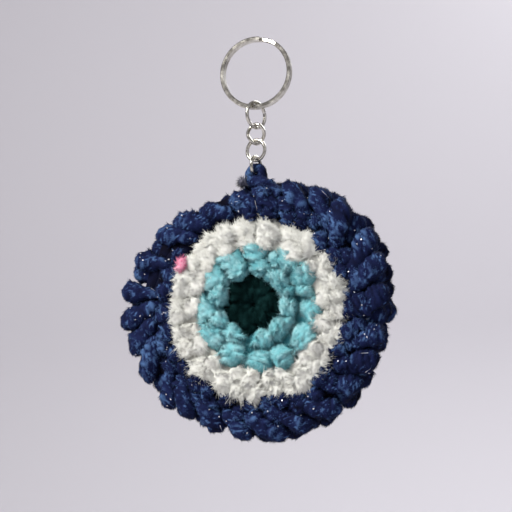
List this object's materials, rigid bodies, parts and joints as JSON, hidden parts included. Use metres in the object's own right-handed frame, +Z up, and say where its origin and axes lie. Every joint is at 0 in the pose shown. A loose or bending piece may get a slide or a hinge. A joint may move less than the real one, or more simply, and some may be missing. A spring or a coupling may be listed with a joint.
{
  "type": "crocheted evil eye charm",
  "caption": "Round crocheted charm with a dark pupil, turquoise iris, white round and navy edge, hung by a yarn loop on a short link chain and a split ring.",
  "frame": {"origin": "the point that the charm hangs from: the top of the split ring's bore, midway through the ring's thickness", "axes": "+Z up the hanging chain, -Y the way the front face of the eye looks, +X to the right as that face is seen"},
  "size_m": [0.0868, 0.019, 0.136],
  "materials": {
    "nickel": "satin",
    "navy_yarn": "matte",
    "white_yarn": "matte",
    "turquoise_yarn": "matte",
    "dark_yarn": "matte",
    "pink_yarn": "matte",
    "fibrefill": "matte"
  },
  "bodies": {
    "ring": {"split_ring": "nickel"},
    "top_link": {"top_jump_ring": "nickel"},
    "twisted_link": {"twisted_link": "nickel"},
    "lower_link": {"lower_link": "nickel"},
    "end_link": {"end_jump_ring": "nickel"},
    "eye": {"hanging_loop": "navy_yarn", "yarn_tail": "navy_yarn", "stuffing": "fibrefill", "front_pupil": "dark_yarn", "front_iris_inner": "turquoise_yarn", "front_iris_outer": "turquoise_yarn", "front_white_round": "white_yarn", "front_navy_round": "navy_yarn", "front_edge_row": "navy_yarn", "back_pupil": "dark_yarn", "back_iris_inner": "turquoise_yarn", "back_iris_outer": "turquoise_yarn", "back_white_round": "white_yarn", "back_navy_round": "navy_yarn", "back_edge_row": "navy_yarn", "pink_fleck": "pink_yarn"}
  },
  "joints": [
    {"name": "top_link_swing", "type": "hinge", "parent": "ring", "child": "top_link", "pos_m": [0, 0, -0.02114], "axis": [0.454, 0.891, 0], "range_deg": [-45, 45]},
    {"name": "twisted_link_swing", "type": "hinge", "parent": "top_link", "child": "twisted_link", "pos_m": [0, 0, -0.02864], "axis": [0.9336, -0.3584, 0], "range_deg": [-60, 60]},
    {"name": "lower_link_swing", "type": "hinge", "parent": "twisted_link", "child": "lower_link", "pos_m": [0, 0, -0.03544], "axis": [0.5736, 0.8192, 0], "range_deg": [-45, 45]},
    {"name": "end_link_swing", "type": "hinge", "parent": "lower_link", "child": "end_link", "pos_m": [0, 0, -0.04114], "axis": [0.9563, -0.2924, 0], "range_deg": [-60, 60]},
    {"name": "eye_swing", "type": "hinge", "parent": "end_link", "child": "eye", "pos_m": [0, 0, -0.04624], "axis": [0.225, 0.9744, 0], "range_deg": [-45, 45]}
  ]
}
